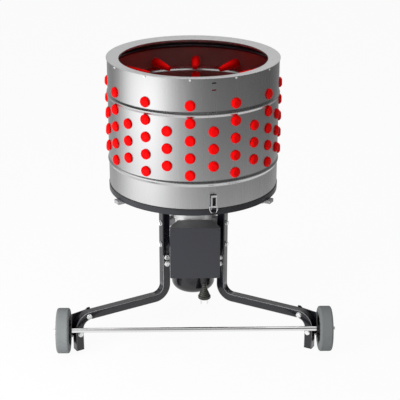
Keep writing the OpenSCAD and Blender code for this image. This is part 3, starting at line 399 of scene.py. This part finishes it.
METALS = {
    "plate_steel": {"colour": (0.22, 0.21, 0.21), "rough": 0.34},
    "latch_steel": {"colour": (0.84, 0.84, 0.85), "rough": 0.24, "scale": 150},
    "latch_wire": {"colour": (0.84, 0.84, 0.85), "rough": 0.18, "spread": 0.04, "scale": 200},
    "zinc": {"colour": (0.95, 0.96, 0.97), "rough": 0.24, "scale": 220, "metallic": 0.5},
    "axle_chrome": {"colour": (0.80, 0.80, 0.81), "rough": 0.14, "spread": 0.04, "scale": 120,
                    "stretch": (0.05, 1, 1), "vary": 0.06},
    "motor_alu": {"colour": (0.74, 0.74, 0.745), "rough": 0.42, "spread": 0.06, "scale": 90,
                  "stretch": (1, 1, 0.15), "bump_mm": 0.03, "metallic": 0.35},
    "gear_steel": {"colour": (0.42, 0.42, 0.43), "rough": 0.3},
    "brass": {"colour": (0.62, 0.45, 0.18), "rough": 0.3},
}
COATINGS = {
    "finger_rubber": {"colour": (0.88, 0.0015, 0.002), "rough": 0.50, "scale": 700, "vary": 0.05,
                      "bump_mm": 0.03, "specular": 0.05},
    "tray_paint": {"colour": (0.030, 0.031, 0.036), "rough": 0.20, "vary": 0.1, "bump_mm": 0.01,
                   "specular": 0.28},
    # leg_paint: the pale edge colour is a painted highlight, the lighter top faces painted light
    "leg_paint": {"colour": (0.0055, 0.0058, 0.0100), "rough": 0.30, "scale": 1100, "vary": 0.10,
                  "bump_mm": 0.01, "specular": 0.30, "coat": 0.7, "painted_top_light": (0.042, 0.042, 0.046),
                  "painted_light": (0.26, 0.26, 0.27)},
    "arm_steel": {"colour": (0.34, 0.34, 0.35), "rough": 0.38},
    "stator_iron": {"colour": (0.22, 0.11, 0.05), "rough": 0.5},
    # box_paint: its lighter top face is painted light
    "box_paint": {"colour": (0.029, 0.030, 0.038), "rough": 0.42, "scale": 1000, "vary": 0.05,
                  "bump_mm": 0.02, "painted_top_light": (0.12, 0.12, 0.125)},
    "black_plastic": {"colour": (0.009, 0.009, 0.012), "rough": 0.17, "vary": 0.1, "bump_mm": 0.01,
                      "specular": 0.65},
    "black_rubber": {"colour": (0.014, 0.014, 0.014), "rough": 0.6},
    "cord_rubber": {"colour": (0.012, 0.012, 0.012), "rough": 0.5},
    "tie_plastic": {"colour": (0.62, 0.62, 0.60), "rough": 0.45},
    "fan_plastic": {"colour": (0.55, 0.55, 0.53), "rough": 0.45},
    "tyre_rubber": {"colour": (0.205, 0.219, 0.222), "rough": 0.70, "scale": 500, "vary": 0.03,
                    "bump_mm": 0.03, "specular": 0.12},
    "hub_plastic": {"colour": (0.035, 0.035, 0.038), "rough": 0.5},
}
MATS = {
    "drum_steel": drum_steel(),
    "ring_steel": ring_steel(),
    "plug_rubber": ribbed("plug_rubber", (0.022, 0.023, 0.019), rough=0.30, rib_mm=5.5, specular=0.4),
}
MATS.update({name: metal(name, **look) for name, look in METALS.items()})
MATS.update({name: coated(name, **look) for name, look in COATINGS.items()})

for subpart in frame["record"]["subparts"]:
    slots = nodes[subpart["node"]].data.materials
    slots.clear()
    slots.append(MATS[subpart["material_slot"]])

mains_cord.data.materials.append(MATS["cord_rubber"])

# Detailed pieces
MERGE_DISTANCE = 1e-7


def mesh_piece(name, verts, faces, body, slot_name, smooth=40, replaced=(), edge_highlight=None):
    """A closed mesh that is smooth over edges flatter than the angle smooth, in degrees."""
    mesh = bpy.data.meshes.new(name)
    mesh.from_pydata([tuple(v) for v in verts], [], faces)
    mesh.update()
    if edge_highlight:
        # Per-point share of the painted edge highlight
        mesh.attributes.new("edge_highlight", "FLOAT", "POINT").data.foreach_set("value", edge_highlight)
    obj = bpy.data.objects.new(name, mesh)
    bpy.context.collection.objects.link(obj)
    mesh.materials.append(MATS[slot_name])
    work = bmesh.new()
    work.from_mesh(mesh)
    bmesh.ops.remove_doubles(work, verts=work.verts, dist=MERGE_DISTANCE)
    bmesh.ops.recalc_face_normals(work, faces=work.faces)
    for face in work.faces:
        face.smooth = True
    for edge in work.edges:
        if len(edge.link_faces) == 2 and edge.calc_face_angle(0) > math.radians(smooth):
            edge.smooth = False
    work.to_mesh(mesh)
    work.free()
    if replaced:
        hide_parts(*replaced)
    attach(obj, body)


def lathe(profile, segments=160):
    """Closed ring: the (radius, height) profile turned about the drum axis."""
    verts, faces = [], []
    n = len(profile)
    for i in range(segments):
        a = math.tau * i / segments
        verts += [(r * math.cos(a), DRUM_Y + r * math.sin(a), z) for r, z in profile]
        j = (i + 1) % segments
        for k in range(n):
            m = (k + 1) % n
            faces.append((i * n + k, j * n + k, j * n + m, i * n + m))
    return verts, faces


# Black strip between the wall and the tray that paints the dark line of shade at their seam: how far out of
# the wall, and how far above its foot
SEAM_SHADE_PROFILE = [(0.0002, 0), (0.0014, 0), (0.0016, 0.001), (0.0012, 0.0026), (0.0003, 0.003)]


def add_seam_shade_strip():
    # A dark strip where the seam is in shade
    verts, faces = lathe([(DRUM_R + out, WALL_FOOT + up) for out, up in SEAM_SHADE_PROFILE])
    mesh_piece("seam_shade_strip", verts, faces, "frame", "black_rubber")


# Lower legs: the same bends as the part, with the pinch that a press leaves inside each bend
LEG_R, KNEE_Z, BEND_R, FOOT_R = 0.100, 0.1035, 0.0375, 0.394
TUBE, CORNER = 0.025, 0.00325
SEAM_Z, FOOT_Z = 0.241, 0.003
CORNER_STEPS, FACE_STEPS, BEND_STEPS = 5, 8, 22
# The steps of a corner that carry a painted highlight along the edge
HIGHLIGHT_STEPS = (2, 3)
# A row of points stands this far outside each end of a bend
BEND_LEAD = 0.012
# The pinch's depth and width, and the powers by which it grows along a bend and fades into the tube
PINCH_DEPTH, PINCH_W = 0.0052, TUBE - 0.003
PINCH_ONSET, PINCH_FADE = 0.7, 4


def tube_section():
    """Rounded square as (rise, aside, painted highlight) triples, with rows along its flat faces for the
    pinch.
    """
    half = TUBE / 2 - CORNER
    corners = []
    for quarter, (rise, aside) in enumerate(((half, half), (-half, half), (-half, -half), (half, -half))):
        for i in range(CORNER_STEPS + 1):
            a = math.pi / 2 * (quarter + i / CORNER_STEPS)
            # Painted highlight on the middle steps of each corner
            painted_light = 1.0 if i in HIGHLIGHT_STEPS else 0.0
            corners.append((rise + CORNER * math.cos(a), aside + CORNER * math.sin(a), painted_light))
    section = []
    for i, p in enumerate(corners):
        section.append(p)
        if i % (CORNER_STEPS + 1) == CORNER_STEPS:
            q = corners[(i + 1) % len(corners)]
            for k in range(1, FACE_STEPS):
                t = k / FACE_STEPS
                section.append((p[0] + (q[0] - p[0]) * t, p[1] + (q[1] - p[1]) * t, 0.0))
    return section


def bend(centre_r, centre_z, start, turn):
    """Stations of a quarter bend from the angle start about its centre; turn is 1 left or -1 right."""
    stations = []
    for i in range(BEND_STEPS + 1):
        t = i / BEND_STEPS
        a = start + 90 * turn * t
        r = centre_r + BEND_R * math.cos(math.radians(a))
        z = centre_z + BEND_R * math.sin(math.radians(a))
        stations.append((r, z, a + 90 * turn, turn * math.sin(math.pi * t)))
    return stations


def leg_stations():
    """(r, z, way, pinch) down the lower leg: way in degrees, and a pinch whose sign is the bend's side."""
    knee_r, knee_z = LEG_R + BEND_R, KNEE_Z + BEND_R
    foot_r, foot_z = FOOT_R - BEND_R, KNEE_Z - BEND_R
    down, out = -90, 0
    return [
        (LEG_R, SEAM_Z, down, 0),
        (LEG_R, knee_z + BEND_LEAD, down, 0),
        *bend(knee_r, knee_z, 180, 1),
        (knee_r + BEND_LEAD, KNEE_Z, out, 0),
        (foot_r - BEND_LEAD, KNEE_Z, out, 0),
        *bend(foot_r, foot_z, 90, -1),
        (FOOT_R, foot_z - BEND_LEAD, down, 0),
        (FOOT_R, FOOT_Z, down, 0),
    ]


def pinched(rise, aside, pinch):
    """The rise of a point of the section, pushed in where it is on the hollow side of a bend."""
    side = math.copysign(1, pinch)
    depth = max(0, rise * side) / (TUBE / 2)
    across = max(0, 1 - (2 * abs(aside) / PINCH_W) ** 2)
    return rise - side * PINCH_DEPTH * abs(pinch) ** PINCH_ONSET * across * depth ** PINCH_FADE


def add_lower_leg(azimuth, side_name):
    section = tube_section()
    stations = leg_stations()
    n = len(section)
    outward = radial(azimuth)
    sideways = Vector((-outward.y, outward.x, 0))
    verts, faces, edge_highlight = [], [], []
    for r, z, way, pinch in stations:
        w = math.radians(way)
        # The rise is to the left of the way in the (r, z) plane, towards the hollow of the first bend
        rise_r, rise_z = -math.sin(w), math.cos(w)
        for rise, aside, painted_light in section:
            rise = pinched(rise, aside, pinch)
            on_axis = Vector((0, DRUM_Y, z + rise_z * rise))
            verts.append(on_axis + outward * (r + rise_r * rise) + sideways * aside)
            edge_highlight.append(painted_light)
    for i in range(len(stations) - 1):
        for k in range(n):
            m = (k + 1) % n
            faces.append((i * n + k, i * n + m, (i + 1) * n + m, (i + 1) * n + k))
    faces.append(tuple(range(n)))
    faces.append(tuple((len(stations) - 1) * n + k for k in reversed(range(n))))
    mesh_piece("lower_tube_" + side_name, verts, faces, "frame", "leg_paint", smooth=50,
               replaced=("leg_lower_" + side_name,), edge_highlight=edge_highlight)


add_seam_shade_strip()
for azimuth, side_name in ((-60, "left"), (60, "right"), (180, "rear")):
    add_lower_leg(azimuth, side_name)

# Studio: the world's strength to matt surfaces, and to the rays that show the background
WORLD_LIGHT, WHITE = 0.32, 1.0
FLOOR_W = 24
FLOOR_TONES = ((0.80, 0.80, 0.80), (0.84, 0.84, 0.84))
# The rest of what the camera sees of the floor is its lit paint, with the object's shadow
FLOOR_WHITE = 0.94


def background_rays(tree):
    """1 for the rays that show the white background: the camera's, off mirrors and through glass."""
    rays = tree.nodes.new("ShaderNodeLightPath").outputs
    seen = combine(tree, "MAXIMUM", rays["Is Camera Ray"], rays["Is Glossy Ray"])
    return combine(tree, "MAXIMUM", seen, rays["Is Transmission Ray"])


def add_world():
    world = bpy.data.worlds.new("studio")
    bpy.context.scene.world = world
    world.use_nodes = True
    tree = world.node_tree
    background = tree.nodes["Background"]
    background.inputs["Color"].default_value = (1, 1, 1, 1)
    level = remap(tree, background_rays(tree), 0, 1, WORLD_LIGHT, WHITE)
    tree.links.new(level, background.inputs["Strength"])


def material_output(tree):
    return next(n for n in tree.nodes if n.type == "OUTPUT_MATERIAL").inputs["Surface"]


def floor_material():
    """Pale and matt to the lamps; to the rays that show the background it is nearly as white as that."""
    mat, tree, bsdf = new_material("floor")
    bsdf.inputs["Specular IOR Level"].default_value = 0.0
    bsdf.inputs["Roughness"].default_value = 1.0
    grain = noise(tree, scale=30, detail=3, rough=0.55)
    tree.links.new(ramp(tree, grain, list(zip(NOISE_SPAN, FLOOR_TONES))), bsdf.inputs["Base Color"])
    glow = tree.nodes.new("ShaderNodeEmission")
    glow.inputs["Strength"].default_value = WHITE
    mix = tree.nodes.new("ShaderNodeMixShader")
    tree.links.new(combine(tree, "MULTIPLY", background_rays(tree), FLOOR_WHITE), mix.inputs[0])
    tree.links.new(bsdf.outputs[0], mix.inputs[1])
    tree.links.new(glow.outputs[0], mix.inputs[2])
    tree.links.new(mix.outputs[0], material_output(tree))
    return mat


def add_floor():
    half = FLOOR_W / 2
    mesh = bpy.data.meshes.new("floor")
    corners = [(-half, -half, 0), (half, -half, 0), (half, half, 0), (-half, half, 0)]
    mesh.from_pydata(corners, [], [(0, 1, 2, 3)])
    mesh.materials.append(floor_material())
    obj = bpy.data.objects.new("floor", mesh)
    bpy.context.collection.objects.link(obj)


def area_light(name, place, target, size, watts, mirrored):
    data = bpy.data.lights.new(name, "AREA")
    data.shape = "RECTANGLE"
    data.size, data.size_y = size
    data.energy = watts
    obj = bpy.data.objects.new(name, data)
    obj.location = place
    obj.rotation_euler = (Vector(target) - Vector(place)).to_track_quat("-Z", "Y").to_euler()
    obj.visible_glossy = mirrored
    bpy.context.collection.objects.link(obj)


REFLECTOR_R, REFLECTOR_FOOT, REFLECTOR_TOP = 1.05, 0.02, 1.5
REFLECTOR_STEPS = 96
# The stretches of height over which the ring goes from one level to the next
RING_RISES = [(0.16, 0.46), (0.62, 0.87), (1.12, 1.42)]
# Light that the ring sends back: azimuth, then the level below the first rise and above each one
RING_LEVELS = [
    (-180, 0.50, 0.55, 0.74, 0.66), (-126, 0.55, 0.30, 0.45, 0.80), (-112, 0.62, 0.39, 0.10, 0.10),
    (-101, 0.80, 0.64, 0.05, 0.05), (-91, 1.05, 1.12, 0.05, 0.05), (-80, 1.25, 1.55, 0.05, 0.05),
    (-65, 1.38, 1.85, 0.05, 0.05), (-50, 1.34, 1.96, 0.05, 0.05), (-38, 1.18, 1.62, 0.05, 0.05),
    (-28, 0.95, 1.07, 0.05, 0.05), (-14, 0.72, 0.60, 0.05, 0.05), (0, 0.59, 0.385, 0.05, 0.05),
    (16, 0.48, 0.26, 0.05, 0.05), (40, 0.42, 0.21, 0.05, 0.05), (80, 0.40, 0.17, 0.05, 0.05),
    (110, 0.36, 0.14, 0.10, 0.10), (135, 0.42, 0.22, 0.64, 0.70), (180, 0.50, 0.55, 0.74, 0.66),
]
# A ramp's colours end at 1, so they hold the levels divided by this
RING_GAIN = 2


def reflector_material():
    mat, tree, bsdf = new_material("reflector")
    tree.nodes.remove(bsdf)
    x, y, z = split(tree, object_place(tree))
    azimuth = combine(tree, "ARCTAN2", x, combine(tree, "MULTIPLY", y, -1))
    around = remap(tree, azimuth, -math.pi, math.pi)
    bands = []
    for level in range(1, len(RING_RISES) + 2):
        stops = [((row[0] + 180) / 360, (row[level] / RING_GAIN,) * 3) for row in RING_LEVELS]
        bands.append(ramp(tree, around, stops))
    colour = bands[0]
    for band, (low, high) in zip(bands[1:], RING_RISES):
        colour = blend(tree, remap(tree, z, low, high), colour, band)
    glow = tree.nodes.new("ShaderNodeEmission")
    glow.inputs["Strength"].default_value = RING_GAIN
    tree.links.new(colour, glow.inputs["Color"])
    tree.links.new(glow.outputs[0], material_output(tree))
    return mat


def add_reflector():
    """A reflector ring round the stand that only mirrors see: bright on the left, darker to the right."""
    verts, faces = [], []
    for i in range(REFLECTOR_STEPS):
        d = radial(360 * i / REFLECTOR_STEPS) * REFLECTOR_R
        verts += [(d.x, d.y, REFLECTOR_FOOT), (d.x, d.y, REFLECTOR_TOP)]
        j = (i + 1) % REFLECTOR_STEPS
        faces.append((2 * i, 2 * j, 2 * j + 1, 2 * i + 1))
    mesh = bpy.data.meshes.new("reflector")
    mesh.from_pydata(verts, [], faces)
    mesh.materials.append(reflector_material())
    obj = bpy.data.objects.new("reflector", mesh)
    obj.location = (0, DRUM_Y, 0)
    obj.visible_camera = False
    obj.visible_diffuse = False
    obj.visible_shadow = False
    obj.visible_transmission = False
    bpy.context.collection.objects.link(obj)


add_world()
add_floor()
area_light("key", place=(-1.35, DRUM_Y - 1.35, 0.75), target=(-0.22, DRUM_Y, 0.35), size=(0.8, 0.9),
           watts=34, mirrored=False)
area_light("fill", place=(2.8, DRUM_Y - 2.4, 1.9), target=(0, DRUM_Y, 0.5), size=(2.0, 2.0), watts=2,
           mirrored=True)
area_light("top", place=(0, DRUM_Y, 3.4), target=(0, DRUM_Y, 0), size=(2.6, 2.6), watts=32,
           mirrored=False)
add_reflector()

bpy.context.scene.view_settings.view_transform = "Standard"
